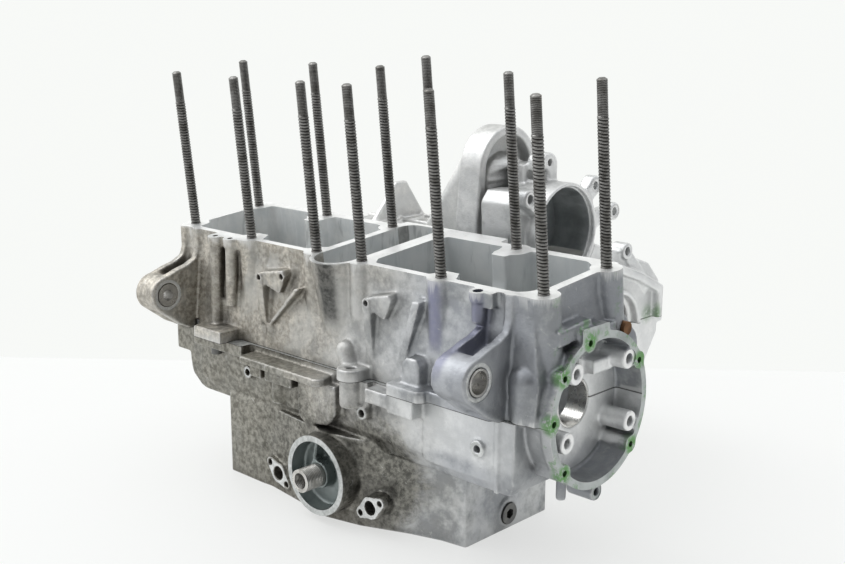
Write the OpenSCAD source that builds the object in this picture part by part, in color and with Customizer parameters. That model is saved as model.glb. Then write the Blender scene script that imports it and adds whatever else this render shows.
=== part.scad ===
// Crankcase of an air and oil cooled in-line four-cylinder motorcycle engine.
// It stands on the pan joint face of its lower half. X runs along the crankshaft,
// Y towards the gearbox, Z up. The origin is on the crankshaft axis, midway between
// cylinders two and three, so the table lies crank_h below it.

/* [Crank line] */
// Height of the crankshaft axis above the pan joint face
crank_h = 130.5; // [120:0.5:140]
// Radius of the bored main bearing housings
journal_r = 20; // [18:0.5:22]
// Wall thickness of a main bearing shell
shell_t = 1.6; // [1:0.1:2.5]
// Width of a main bearing web and of its shells
web_w = 18; // [14:1:20]
// Radius that the crank webs swing in
crank_bay_r = 58; // [54:1:60]

/* [Cylinder deck] */
// Distance from the crankshaft axis to the cylinder deck, along the studs
deck_rise = 100; // [95:1:110]
// Forward lean of the cylinders from upright
lean = 6; // [0:1:10]
// Half of the deck's length along the crankshaft
deck_half_l = 220; // [218:1:224]
// Distance from the deck's middle to its front edge
deck_front = 51; // [49:1:54]
// Distance from the deck's middle to its rear edge
deck_rear = 56; // [54:1:60]
// Half of the width of the cylinder openings across the deck
opening_half_w = 44.5; // [42:0.5:46]
// Depth below the deck of the web between two cylinders
saddle_depth = 46; // [42:1:54]

/* [Cylinder studs] */
// Length of the studs above the deck
stud_h = 145; // [120:1:180]
// Extra length of the one tall stud behind cylinder three
tall_extra = 10; // [5:1:20]
// Diameter of a stud over its rolled ridges
stud_d = 8; // [7:0.5:10]
// Spacing of the rolled ridges
ridge_pitch = 2.55; // [2.4:0.05:4]
// Depth of the rolled grooves
ridge_depth = 0.55; // [0.3:0.05:0.8]
// Distance between the two rows at the inner four stud pairs
stud_row = 92; // [88:1:94]
// Distance between the two rows at the end pairs
stud_row_end = 78; // [74:1:82]

/* [Front mounts] */
// Height of the front mount axis below the deck
ear_drop = 54; // [50:1:60]
// Distance of the front mount axis ahead of the deck's middle
ear_reach = 94; // [88:1:100]
// Radius of the mount bosses
ear_r = 17.5; // [16:0.5:20]
// Outer diameter of the bush in the left mount
bush_d = 21; // [18:0.5:24]
// Bolt hole through the left mount's bush
bush_bore = 10.5; // [8:0.5:14]
// Bore of the sleeve in the right mount
sleeve_bore = 17.5; // [14:0.5:18]

/* [Oil filter and cooler] */
// Radius of the oil filter's sealing flange
filter_r = 35; // [32:0.5:38]
// Height of the filter's axis above the pan joint face
filter_h = 41; // [39:0.5:44]
// Outer diameter of the filter's threaded union
union_d = 20; // [18:0.5:22]
// Bore of the filter's threaded union
union_bore = 14; // [10:0.5:15]
// Distance between the two screw holes of an oil cooler port
port_pitch = 27; // [25:1:30]
// Bore of an oil cooler port
port_bore = 12; // [10:0.5:14]

/* [Crank end cover] */
// Outer radius of the round cover joint at the right end
cover_r = 62; // [60:1:64]
// Distance of that joint face from the middle of the crankcase
cover_x = 230; // [227:1:236]
// Depth of the round chamber behind that joint
cover_depth = 25; // [20:1:27]

/* [Alternator seat] */
// Radius of the alternator bore
alternator_r = 39.5; // [37:0.5:41]
// Wall around the alternator bore
alternator_wall = 5; // [4:0.5:7]
// Depth of the alternator bore
alternator_depth = 44; // [38:1:52]

/* [Gearbox] */
// Bore for the output shaft's bearing, radius
output_r = 31; // [27:1:33]
// Distance from the crankshaft to the output shaft
output_y = 202; // [195:1:206]
// Distance from the crankshaft to the clutch shaft
clutch_y = 118; // [112:1:124]
// Radius of the clutch opening in the left wall
clutch_r = 68; // [62:1:70]
// Rearmost point of the gearbox behind the crankshaft
gearbox_rear = 282; // [276:1:292]

/* [Castings] */
// General wall thickness of the castings
wall = 6; // [5:0.5:7]
// Thickness of the flanges at the joint between the halves
flange_t = 11; // [9:1:14]

/* [Hidden] */
$fn = 48;
fit = 0.02;             // clearance of a pressed or located fit
through = 1;            // how far a cutter runs past a face
seat = 0.3;             // gap left between two pieces that only meet

stud_x = [-210.8, -116.5, -28, 28, 116.5, 210.8];
tall_stud = 3;          // index along X of the tall rear stud
journal_x = [-209, -116.5, -28, 28, 116.5, 195];
bank_x = [-164, -72, 72, 164];    // middles of the four crank bays
bank_half = [38, 34, 34, 30];     // half length of each crank bay

block_l = deck_half_l;
front_y = -70.5;        // front wall at the joint of the halves
block_back = 66;        // back of the crank chamber
sump_left = -139;
sump_right = 133;
trough_z = 65;          // underside of the crank trough
sump_ceiling = 82;      // underside of the bearing webs over the sump
boss_r = 11.5;          // bosses around the studs
tunnel_half = 20.5;     // half width of the cam chain tunnel
tunnel_y = -46.5;       // centre of the tunnel's round front end
deck_end = deck_half_l - 8;       // end of the deck between its corner studs
opening_near_left = 29;           // openings over the cylinder pairs, from the tunnel out
opening_far_left = 209;
opening_near_right = 36;
opening_far_right = 204;
bank_web = 116.5;                 // web between the two cylinders of a pair
saddle_r = 27;                    // round dip in that web
saddle_y = -5;

gear_left = -160;
clutch_face = -block_l - 1;    // joint face of the clutch cover
gear_right = 100;
gear_roof = 214;        // roof just behind the cylinders
alternator = [gear_right, 127.5, 233.5];
ear_left = [-218, -190];
ear_right = [161, 193];
filter = [6, -92.5, filter_h];
union_out = 16.5;
// screw lug at the joint, in front of the round knob
lug_at = [37, -78];
plug_y = 10;
plug_z = 14;
plug_r = 9;
pin_r = 5.5;
pin_at = [204, 226, 38, crank_h + 56];    // from, to, Y, Z of the gallery pin

BASE_NODES = ["upper_case", "lower_case", "cylinder_studs", "tall_stud_rear",
    "filter_union", "ear_bush_left", "ear_sleeve_right", "gallery_plug",
    "gallery_pin", "joint_dowels", "main_bolts", "joint_bolts"];
journals = [0:5];

cast = "#b9bab8";
steel = "#4a4c4e";
bright = "#d8d8d6";

// Stud rows: the end pairs sit closer together than the inner ones.
function row_y(i) = (i == 0 || i == 5 ? stud_row_end : stud_row) / 2;
function stud_boss_r(i) = i == 0 || i == 5 ? boss_r + 1 : boss_r;

// The castings are drawn from the table up, and then set with the origin on the
// crankshaft axis.
module from_crank() {
    translate([0, 0, -crank_h]) children();
}

// Moves its children from the cylinder deck's own frame to the crankcase's.
module on_deck() {
    translate([0, 0, crank_h]) rotate([lean, 0, 0]) translate([0, 0, deck_rise]) children();
}

// Extrudes an outline, drawn in Y and Z, along X from a to b.
module along_x(a, b) {
    translate([a, 0, 0]) rotate([90, 0, 90]) linear_extrude(b - a) children();
}

// Extrudes an outline, drawn in X and Z, along Y from a to b.
module along_y(a, b) {
    translate([0, b, 0]) rotate([90, 0, 0]) linear_extrude(b - a) children();
}

module x_rod(a, b, y, z, r) {
    translate([a, y, z]) rotate([0, 90, 0]) cylinder(h = b - a, r = r);
}

module y_rod(x, a, b, z, r) {
    translate([x, b, z]) rotate([90, 0, 0]) cylinder(h = b - a, r = r);
}

module z_rod(x, y, a, b, r) {
    translate([x, y, a]) cylinder(h = b - a, r = r);
}

module box(x, y, z) {
    translate([x[0], y[0], z[0]]) cube([x[1] - x[0], y[1] - y[0], z[1] - z[0]]);
}

// A cylinder on the crank line, used for every cut around the crankshaft.
module crank_line(a, b, r) {
    x_rod(a, b, 0, crank_h, r);
}

// Keeps what lies above or below the joint of the halves.
module half_space(up) {
    if (up) box([-300, 300], [-200, 400], [crank_h, crank_h + 400]);
    else box([-300, 300], [-200, 400], [-10, crank_h]);
}

// The outlines that the two halves share

// Wall of the gearbox as seen along X, both halves together.
module gear_outline() {
    polygon([
        [40, 60], [150, 54], [225, 62], [262, 84], [gearbox_rear, 112],
        [gearbox_rear, 166], [262, 186], [222, 200], [170, gear_roof + 4],
        [60, gear_roof], [40, gear_roof]
    ]);
}

module gear_inside() {
    polygon([
        [block_back + 2 * wall, 76], [150, 62], [221, 70], [255, 90],
        [gearbox_rear - wall, 116], [gearbox_rear - wall, 162], [258, 178],
        [218, 192], [168, gear_roof - 3], [block_back + 2 * wall, gear_roof - 7]
    ]);
}

// Upper half

module block_side() {
    polygon([
        [-deck_front, 0], [-deck_front, -14], [-67, -88], [-70.5, -118],
        [66, -118], [66, -60], [deck_rear - 2, -40], [deck_rear - 2, 0]
    ]);
}

// The block as seen from the front: its end walls lean out below the deck.
module block_front() {
    polygon([
        [-deck_end, 0], [deck_end, 0], [deck_end, -18], [block_l, -64], [block_l, -120],
        [-block_l, -120], [-block_l, -64], [-deck_end, -18]
    ]);
}

module block_body() {
    on_deck() {
        intersection() {
            along_x(-block_l, block_l) block_side();
            along_y(-130, 130) block_front();
        }
        for (i = [0:5]) {
            end = i == 0 || i == 5;
            // front bosses flare as they run down the wall
            translate([stud_x[i], -row_y(i), end ? -92 : -66])
                cylinder(h = end ? 92 : 66, r1 = stud_boss_r(i) + (end ? 0 : 3.5), r2 = stud_boss_r(i));
            z_rod(stud_x[i], row_y(i), end ? -84 : -40, 0, stud_boss_r(i));
        }
        // front of the cam chain tunnel
        intersection() {
            tunnel_front(tunnel_half + 4, 94);
            box([-40, 40], [-90, 0], [-92, 0]);
        }
        box([-28, 92], [40, deck_rear + 9], [-30, 0]);
    }
}

// The round front of the tunnel leans back into the wall as it runs down.
module tunnel_front(r, depth) {
    translate([0, tunnel_y, 0]) rotate([7.1, 0, 0])
        translate([0, 0, -depth]) cylinder(h = depth + 6, r = r);
}

module deck_tabs() {
    on_deck() {
        for (t = deck_tab_at) {
            // the column below a tab leans out with the wall
            translate([t[0], t[1], -7.5]) rotate([-8, 0, 0]) translate([0, 0, 8 - t[3]])
                cylinder(h = t[3] - 8, r1 = t[2] * 0.7, r2 = t[2] * 0.82);
            z_rod(t[0], t[1], -8, 0, t[2]);
        }
        box([163.5, 178], [-59, -48], [-12, 0]);
        box([-153, -118], [-58, -48], [-10, 0]);
    }
}

// Tabs on the deck's front edge: X, Y, radius, length of the column below, hole radius.
deck_tab_at = [[-153.5, -58, 8, 86, 2.5], [-133, -57, 7.5, 64, 2.5], [163.5, -56, 7.5, 26, 4]];

module deck_tab_holes() {
    on_deck() {
        for (t = deck_tab_at) z_rod(t[0], t[1] - 1, -20, through, t[4]);
    }
}

// Drawn on the deck: the opening over one pair of cylinders, from the tunnel out.
module pair_opening(near, far) {
    w = opening_half_w;
    polygon([
        [near, -w + 8], [near + 7, -w], [far - 14, -w], [far, -w + 12], [far, w - 16],
        [far - 5, w - 7], [far - 15, w], [near + 6, w], [near, w - 8]
    ]);
}

// Bosses that reach into the openings around the studs.
module opening_keep() {
    for (i = [0:5], s = [-1, 1]) translate([stud_x[i], s * row_y(i)]) circle(r = 13);
    for (s = [-1, 1]) {
        translate([s * 114, 31.5]) circle(r = 8);
        translate([s * 119, 41]) circle(r = 14);
    }
}

module deck_cuts() {
    on_deck() {
        for (side = [-1, 1]) mirror([side < 0 ? 1 : 0, 0, 0]) {
            near = side < 0 ? opening_near_left : opening_near_right;
            far = side < 0 ? opening_far_left : opening_far_right;
            // one deep opening per cylinder, with the web between them left standing
            translate([0, 0, -64]) linear_extrude(64 + through) difference() {
                pair_opening(near, far);
                opening_keep();
                translate([bank_web - 7.5, -60]) square([15, 120]);
            }
            // the web dips in a round saddle between the two cylinders
            translate([bank_web - 9, saddle_y, saddle_r - saddle_depth]) rotate([0, 90, 0])
                cylinder(h = 18, r = saddle_r);
            translate([bank_web - 9, saddle_y - saddle_r, saddle_r - saddle_depth])
                cube([18, 2 * saddle_r, saddle_depth - saddle_r + through]);
        }
        // cam chain tunnel
        translate([-tunnel_half, tunnel_y, -118]) cube([2 * tunnel_half, 48 - tunnel_y, 120]);
        tunnel_front(tunnel_half, 56);
        for (x = [-8, 8]) z_rod(x, 48, -118, through, tunnel_half - 8);
        translate([-8, 47, -118]) cube([16, tunnel_half - 7, 120]);
    }
}

module crank_bays() {
    for (i = [0:3]) crank_line(bank_x[i] - bank_half[i], bank_x[i] + bank_half[i], crank_bay_r);
    crank_line(-19, 19, crank_bay_r - 4);
}

module stud_holes() {
    on_deck() for (i = [0:5], s = [-1, 1])
        z_rod(stud_x[i], s * row_y(i), -30, through, stud_d / 2 + fit);
}

module ear(x) {
    on_deck() difference() {
        union() {
            x_rod(x[0], x[1], -ear_reach, -ear_drop, ear_r);
            // the two flanges and the web between them
            for (f = [[x[0], x[0] + 7], [x[1] - 8, x[1]]])
                along_x(f[0], f[1]) ear_side();
            along_x(x[0] + 1, x[1] - 1) ear_web();
        }
        x_rod(x[0] - through, x[1] + through, -ear_reach, -ear_drop, bush_d / 2 + fit);
    }
}

// One flange of a mount arm, seen along X on the deck's frame: its top runs back
// level from the boss and then sweeps up the wall to the deck.
module ear_side() {
    polygon([
        [-ear_reach, -ear_drop + ear_r], [-80, -ear_drop + ear_r + 3.5], [-68, -31],
        [-58, -27], [-54.5, -19], [-53, 0], [-44, 0], [-44, -94], [-68, -96], [-85, -86],
        [-ear_reach - 0.75 * ear_r, -ear_drop - 0.66 * ear_r], [-ear_reach, -ear_drop]
    ]);
}

module ear_web() {
    polygon([
        [-ear_reach, -ear_drop + 6], [-72, -ear_drop + 8], [-60, -ear_drop + 12], [-44, -ear_drop + 12],
        [-44, -93], [-67, -94.5], [-83, -84],
        [-ear_reach - 0.68 * ear_r, -ear_drop - 0.6 * ear_r], [-ear_reach, -ear_drop]
    ]);
}

// A vertical rib with a tapped boss at its head and a ridge running right.
module ribbed_boss(x, z, foot, run) {
    on_deck() {
        y_rod(x, -66, -45, z, 4.5);
        box([x - 4.2, x + 4.2], [-66, -45], [foot, z]);
        along_y(-63, -45) polygon([[x, z + 4.5], [x + run, z + 10], [x + run + 3, z + 5],
            [x + run - 6, z - 12], [x, z - 6]]);
    }
}

// A rib that runs down the front wall at a slant.
module slant_rib(top, foot, w, proud) {
    on_deck() {
        along_y(-58 - proud, -48) polygon([
            [top[0] - w, top[1]], [top[0] + w, top[1]], [foot[0] + w, foot[1]], [foot[0] - w, foot[1]]
        ]);
        y_rod(foot[0], -58 - proud, -48, foot[1], w + 0.6);
    }
}

module joint_lugs_upper() {
    top = crank_h + flange_t;
    box([-163, -123], [-91, -64], [crank_h, top]);
    z_rod(lug_at[0], lug_at[1], crank_h, crank_h + 10, 12);
    box([lug_at[0] - 11.6, lug_at[0] + 12], [-77, -60], [crank_h, crank_h + 10]);
    // stepped block with a rounded column above it
    translate([0, 0, crank_h]) linear_extrude(9.5)
        polygon([[84, -64], [84, -84], [88, -88], [120, -88], [124, -84], [124, -64]]);
    along_y(-78, -60) polygon([[93, crank_h], [95, crank_h + 27], [99, crank_h + 31],
        [109, crank_h + 31], [113, crank_h + 26], [114, crank_h]]);
    box([112, 186], [-79, -64], [crank_h, crank_h + 9]);
    // rear flange of the gearbox
    box([gear_left, gear_right], [gearbox_rear - 4, gearbox_rear + 10], [crank_h, crank_h + 9]);
    // round knob on the front wall
    hull() {
        translate([20.5, -68, crank_h + 19.5]) sphere(r = 8.5, $fn = 24);
        translate([25, -66, crank_h + 4]) cylinder(h = 5, r = 10, $fn = 24);
    }
}

module tower() {
    x0 = 14;
    x1 = 40;
    cy = 117.5;
    cz = 285;
    difference() {
        union() {
            // arched slab
            along_x(x0, x1) {
                translate([cy, cz]) circle(r = 40);
                polygon([[cy - 40, cz], [cy + 40, cz], [cy + 62, 200], [cy - 48, 200]]);
            }
            // flank that runs down to the gearbox roof
            hull() {
                translate([x0, cy - 4, cz]) rotate([0, 90, 0]) cylinder(h = 6, r = 33, $fn = 32);
                translate([-46, 84, 206]) cube([60, 84, 4]);
            }
        }
        // recess inside the arch
        along_x(x1 - 14, x1 + through) difference() {
            union() {
                translate([cy, cz]) circle(r = 32);
                polygon([[cy - 32, cz], [cy + 32, cz], [cy + 32, 230], [cy - 32, 230]]);
            }
            translate([cy + 32, 262]) circle(r = 14);
        }
    }
    // inner dome of the gear housing
    difference() {
        translate([x1 - 12, cy + 2, cz - 12]) sphere(r = 27);
        box([-20, x1 - 20], [0, 300], [200, 400]);
        box([x1 + 10, 90], [0, 300], [200, 400]);
    }
    // ear behind the arch
    difference() {
        along_x(60, 78) {
            translate([128, 291]) circle(r = 12);
            translate([116, 252]) square([24, 39]);
        }
        x_rod(59, 79, 129, 294, 3.2);
        x_rod(59, 79, 121, 283, 6);
    }
    along_x(x1 - 2, 62) translate([112, 246]) square([24, 46]);
}

module alternator_body() {
    a = alternator;
    r = alternator_r + alternator_wall;
    x_rod(36, a[0], a[1], a[2], r);
    // block in front of the body
    along_x(45, 88) polygon([[74, 205], [100, 205], [120, 272], [80, 272], [72, 262]]);
    // ears for the alternator's screws
    for (e = alternator_ears) {
        x_rod(a[0] - 12, a[0], a[1] + e[0], a[2] + e[1], e[2]);
        along_x(a[0] - 11, a[0] - 1) arm([a[1], a[2]], [a[1] + e[0], a[2] + e[1]], e[2] - 1);
    }
}

alternator_ears = [[-53.5, 35.5, 8], [41.5, 38, 9], [73, 10.5, 8.5]];

// A straight arm between two points of an outline, w to each side.
module arm(p, q, w) {
    d = q - p;
    n = [-d[1], d[0]] / norm(d) * w;
    polygon([p + n, p - n, q - n, q + n]);
}

module alternator_cuts() {
    a = alternator;
    x_rod(a[0] - alternator_depth, a[0] + through, a[1], a[2], alternator_r);
    x_rod(a[0] - 5, a[0] + through, a[1], a[2], alternator_r + 1.6);
    x_rod(a[0] - alternator_depth - 22, a[0] - 10, a[1], a[2], 20);
    for (e = alternator_ears)
        x_rod(a[0] - 14, a[0] + through, a[1] + e[0], a[2] + e[1], 3.6);
}

// Roof of the gearbox behind the cylinders, with its cross ribs and fins.
module roof_ribs() {
    for (y = [96, 128, 160])
        box([gear_left + 2, 10], [y, y + 4], [gear_roof - 14, gear_roof + 8]);
    for (x = [-152, -112, -20])
        box([x, x + 5], [60, 190], [gear_roof - 20, gear_roof + 6]);
    for (x = [-118, -34])
        along_x(x, x + 6) polygon([[84, gear_roof - 4], [126, gear_roof + 44],
            [140, gear_roof + 44], [176, gear_roof - 6]]);
    z_rod(-62, 78, gear_roof - 10, gear_roof + 10, 7);
}

module right_cover_ring() {
    crank_line(cover_x - 9, cover_x, cover_r);
    translate([186, 0, crank_h]) rotate([0, 90, 0])
        cylinder(h = cover_x - 195, r1 = cover_r - 4, r2 = cover_r - 1);
    // web that ties the ring to the end wall
    box([200, cover_x], [-26, 8], [crank_h + 46, crank_h + 68]);
    box([206, cover_x - 6], [6, 26], [crank_h + 50, crank_h + 64]);
    // tapped tabs around the joint
    for (t = cover_taps) translate([0, 58 * cos(t), crank_h + 58 * sin(t)])
        rotate([0, 90, 0]) translate([0, 0, 206]) cylinder(h = cover_x - 206, r = 7);
}

cover_taps = [30, 106, 143, 177, 222, 318];
cover_bosses = [[131, 46], [41, 49.6], [-25, 46.8], [203, 42.8]];

module cover_bosses_solid() {
    for (b = cover_bosses)
        x_rod(cover_x - cover_depth - 2, cover_x - 0.5, b[1] * cos(b[0]),
            crank_h + b[1] * sin(b[0]), 8.5);
}

module cover_holes() {
    for (b = cover_bosses)
        x_rod(cover_x - 16, cover_x + through, b[1] * cos(b[0]),
            crank_h + b[1] * sin(b[0]), 4);
    for (t = cover_taps)
        x_rod(cover_x - 14, cover_x + through, 58 * cos(t), crank_h + 58 * sin(t), 2.6);
}

module cover_chamber() {
    difference() {
        crank_line(cover_x - cover_depth, cover_x + through, cover_r - wall);
        for (t = cover_taps)
            x_rod(cover_x - cover_depth - 1, cover_x + 2, 58 * cos(t), crank_h + 58 * sin(t), 7);
        cover_bosses_solid();
        // raised lump above the bearing
        box([200, 216], [10, 34], [crank_h + 22, crank_h + 34]);
    }
}

// Pocket and tapped holes of the clutch side, shared by both halves.
module clutch_side_cut() {
    along_x(clutch_face - through, gear_left + 12) {
        translate([clutch_y, crank_h]) circle(r = clutch_r);
    }
    crank_line(clutch_face - through, -block_l + 6, crank_bay_r - 6);
    for (t = [0:7]) x_rod(clutch_face - through, -block_l + 14,
        clutch_y + (clutch_r + wall) * cos(45 * t + 22.5),
        crank_h + (clutch_r + wall) * sin(45 * t + 22.5), 2.6);
}

module clutch_side_body() {
    along_x(clutch_face, gear_left + 2) {
        translate([clutch_y, crank_h]) circle(r = clutch_r + 2 * wall);
        translate([30, 70]) square([70, 122]);
    }
}

module output_cuts() {
    x_rod(gear_right - 20, gear_right + 12, output_y, crank_h, output_r);
    x_rod(gear_right - 2, gear_right + 12, output_y, crank_h, output_r + 3);
    x_rod(gear_right - 20, gear_right + through, clutch_y, crank_h, 14);
}

// Sprocket side of the gearbox: a raised joint band with lugs.
module sprocket_band() {
    along_x(gear_right - 6, gear_right + 8) difference() {
        offset(r = 3) gear_band_outline();
        offset(r = -6) gear_band_outline();
    }
    x_rod(gear_right - 6, gear_right + 8, output_y, crank_h, output_r + 8);
    // ear on the upper rear corner and its arm
    x_rod(gear_right - 12, gear_right + 4, 219, 204, 8);
    along_x(gear_right - 12, gear_right + 2) arm([219, 204], [262, 160], 6);
}

module gear_band_outline() {
    polygon([[150, 92], [262, 96], [276, 118], [276, 160], [240, 178], [190, 196], [150, 196]]);
}

module upper_case() {
    color(cast) from_crank() intersection() {
        half_space(true);
        difference() {
            union() {
                block_body();
                deck_tabs();
                along_x(gear_left, gear_right) gear_outline();
                clutch_side_body();
                alternator_body();
                tower();
                roof_ribs();
                sprocket_band();
                right_cover_ring();
                joint_lugs_upper();
                ear(ear_left);
                ear(ear_right);
                ribbed_boss(-88, -28, -71, 30);
                ribbed_boss(48.5, -28, -80, 24);
                slant_rib([-36, -30], [-80, -72], 2.4, 9);
                on_deck() {
                    z_rod(-80, -62, -98, -72, 6);
                    z_rod(-150, -60, -74, -58, 5);
                }
                slant_rib([104, -18], [82, -74], 4, 6);
                // round blisters on the corner ahead of the cover ring
                on_deck() {
                    z_rod(205, -58, -100, -63, 12);
                    translate([205, -58, -63]) sphere(r = 12);
                    z_rod(219, -48, -100, -80, 6);
                    translate([219, -48, -80]) sphere(r = 6);
                }
                // pad on the right end wall
                on_deck() box([190, 226], [-42, -2], [-38, -26]);
            }
            deck_cuts();
            deck_tab_holes();
            stud_holes();
            crank_bays();
            crank_line(clutch_face - through, cover_x, journal_r);
            along_x(gear_left + wall, gear_right - wall) gear_inside();
            clutch_side_cut();
            output_cuts();
            alternator_cuts();
            cover_chamber();
            cover_holes();
            upper_tapped_holes();
            dowel_holes();
            bolt_holes(true);
            x_rod(pin_at[0], pin_at[1], pin_at[2], pin_at[3], pin_r + fit);
        }
    }
}

module upper_tapped_holes() {
    on_deck() {
        y_rod(-88, -70, -52, -28, 2.5);
        y_rod(-60, -70, -52, -24, 2.5);
        y_rod(48.5, -70, -52, -28, 2.5);
    }
    z_rod(lug_at[0], lug_at[1], crank_h - 1, crank_h + 15, 4.02);
    x_rod(gear_right - 20, gear_right + 12, 219, 204, 4);
}

// Lower half

module lower_front_outline() {
    // seen from the front: trough with rounded lower corners
    polygon([
        [-block_l + 1, crank_h], [-block_l + 1, 105], [-199, 105], [-197, 90],
        [-189, 72], [-176, 66], [-160, trough_z - 1], [182, trough_z - 1],
        [196, 70], [203, 82], [204, crank_h]
    ]);
}

module lower_side_outline() {
    polygon([
        [front_y, crank_h], [front_y, 84], [front_y + 6, 70], [front_y + 18, trough_z - 1],
        [block_back, trough_z - 1], [block_back, crank_h]
    ]);
}

module sump_outline() {
    polygon([
        [sump_left, front_y], [-92, front_y], [-80, front_y + 1], [-40, front_y - 4],
        [6, front_y - 10], [40, front_y - 2], [82, -55], [110, -46],
        [sump_right, -42.5], [sump_right, 62], [96, 108], [-84, 128], [sump_left, 96]
    ]);
}

module sump_inside() {
    polygon([
        [sump_left + wall, front_y + 8], [-40, front_y + 8], [40, front_y + 9],
        [80, -48], [sump_right - wall, -36], [sump_right - wall, 58],
        [92, 101], [-82, 121], [sump_left + wall, 91]
    ]);
}

module filter_mount() {
    y_rod(filter[0], filter[1], front_y + 8, filter[2], filter_r);
}

module filter_cup() {
    difference() {
        y_rod(filter[0], filter[1] - through, filter[1] + 15, filter[2], filter_r - 5);
        y_rod(filter[0], filter[1] + 3, filter[1] + 20, filter[2], 12);
        // rib from the rim to the hub
        translate([filter[0] - 9, filter[1] + 4, filter[2] + 8]) rotate([0, 10, 0])
            cube([4, 14, filter_r]);
    }
}

module cooler_port(p, turn, depth) {
    translate(p) rotate([0, turn, 0]) rotate([-90, 0, 0]) {
        hull() {
            for (s = [-1, 1])
                translate([s * port_pitch / 2, 0, 0]) cylinder(h = 6, r = 5, $fn = 32);
            cylinder(h = 6, r = 9.5, $fn = 48);
        }
        cylinder(h = depth, r = 10);
    }
}

module cooler_port_holes(p, turn) {
    translate(p) rotate([0, turn, 0]) rotate([-90, 0, 0]) {
        translate([0, 0, -through]) cylinder(h = 40, r = port_bore / 2);
        for (s = [-1, 1]) translate([s * port_pitch / 2, 0, -through])
            cylinder(h = 12, r = 2.6);
    }
}

port_left = [-63, front_y - 6, 19];
port_right = [60, -80.5, 24];

module joint_lugs_lower() {
    base = crank_h - flange_t;
    // ledge plate with rounded ends
    translate([0, 0, crank_h - 12]) linear_extrude(7)
        polygon([[-98, -60], [-98, -88], [-95, -91], [4, -91], [8, -88.5], [9.5, -84],
            [4, -64], [4, -60]]);
    // panel below the ledge
    along_y(-79, -56) polygon([[-31, crank_h - 12], [-31, 88], [-28, 81.3], [-21.4, 77.6],
        [6, 82], [13, 87], [17, 94], [17, crank_h - 12]]);
    z_rod(lug_at[0], lug_at[1], base - 12, crank_h, 10);
    box([lug_at[0] - 9, lug_at[0] + 18], [-77, -60], [base - 12, crank_h]);
    box([60, 86], [-86, -64], [base - 2, crank_h - 1]);
    box([84, 112], [-84, -64], [base - 6, crank_h]);
    // blocks and half-round columns in the pocket below the ledge
    box([-72, -36], [-82, -64], [crank_h - 25, crank_h - 12]);
    z_rod(-66, -68, 84, crank_h - 25, 8);
    box([-96, -80], [-80, -66], [crank_h - 26, crank_h - 12]);
    y_rod(-104, -76, -60, 105, 6);
    y_rod(50, -80, -60, 104, 6);
    box([-176, -104], [-82, -64], [base, crank_h]);
    box([112, 188], [front_y - 1, -60], [78, crank_h]);
    box([186, 190], [front_y - 2, -60], [72, crank_h]);
    box([gear_left, gear_right], [gearbox_rear - 4, gearbox_rear + 10], [crank_h - 9, crank_h]);
}

module lower_body() {
    intersection() {
        along_y(-120, 300) lower_front_outline();
        along_x(-300, 300) lower_side_outline();
    }
    intersection() {
        along_x(gear_left, gear_right) gear_outline();
        half_space(false);
    }
    difference() {
        clutch_side_body();
        half_space(true);
    }
    linear_extrude(trough_z + 12) sump_outline();
    filter_mount();
    cooler_port(port_left, 36, 14);
    cooler_port(port_right, -32, 40);
    joint_lugs_lower();
    right_cover_ring();
    // tapped boss and lower lug on the right
    y_rod(171, front_y - 5, -60, 104, 7);
    x_rod(196, 221, 12, 58, 7.5);
    box([190, 216], [8, 16], [58, 74]);
    z_rod(207, -16, 56, 76, 4);
    x_rod(sump_right - 8, sump_right + 2, plug_y, plug_z + 1.5, plug_r + 4);
}

module lower_case() {
    color(cast) from_crank() intersection() {
        half_space(false);
        difference() {
            lower_body();
            crank_bays();
            crank_line(clutch_face - through, cover_x, journal_r);
            intersection() {
                along_x(gear_left + wall, gear_right - wall) gear_inside();
                half_space(false);
            }
            clutch_side_cut();
            output_cuts();
            cover_chamber();
            cover_holes();
            translate([0, 0, -through]) linear_extrude(sump_ceiling + through) sump_inside();
            filter_cup();
            y_rod(filter[0], filter[1], -50, filter[2], union_d / 2 - 1 + fit);
            cooler_port_holes(port_left, 36);
            cooler_port_holes(port_right, -32);
            x_rod(sump_right - 12, sump_right + 4, plug_y, plug_z, plug_r + fit);
            y_rod(171, front_y - 6, -60, 104, 3);
            y_rod(-104, -77, -62, 105, 3);
            y_rod(50, -81, -62, 104, 3);
            x_rod(206, 222, 12, 58, 3.2);
            dowel_holes();
            bolt_holes(false);
        }
    }
}

dowel_at = [[-208, 34], [-190, -64], [91, -72], [60, gearbox_rear + 3]];
dowel_r = 4;

module dowel_holes() {
    for (d = dowel_at) z_rod(d[0], d[1], crank_h - 8, crank_h + 8, dowel_r + fit);
}

module joint_dowels() {
    color(steel) from_crank() for (d = dowel_at) difference() {
        z_rod(d[0], d[1], crank_h - 7, crank_h + 7, dowel_r);
        z_rod(d[0], d[1], crank_h - 8, crank_h + 8, dowel_r - 1.2);
    }
}

// Bolts that clamp the halves from below: X, Y, seat of the head, shank radius.
main_bolt_y = 34;
joint_bolt_rear_y = gearbox_rear + 4;
main_bolt_at = [for (x = [for (i = [1:4]) journal_x[i]], y = [-main_bolt_y, main_bolt_y])
    [x, y, sump_ceiling, 4]];
joint_bolt_at = concat(
    [[lug_at[0], lug_at[1], crank_h - flange_t - 4, 3.5], [-150, -75, crank_h - flange_t, 3],
     [103, -76, crank_h - 8, 3]],
    [for (x = [-120, -50, 20, 80]) [x, joint_bolt_rear_y, crank_h - 9, 3]]
);

module bolt_holes(up) {
    for (b = concat(main_bolt_at, joint_bolt_at))
        if (up) z_rod(b[0], b[1], crank_h - through, crank_h + bolt_reach(b) + 2, b[3] + fit);
        else {
            z_rod(b[0], b[1], b[2] - 20, crank_h + through, b[3] + 0.25);
            // room for the head
            z_rod(b[0], b[1], b[2] - 2 * b[3] - 2, b[2], b[3] * 1.6 + 0.5);
        }
}

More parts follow.
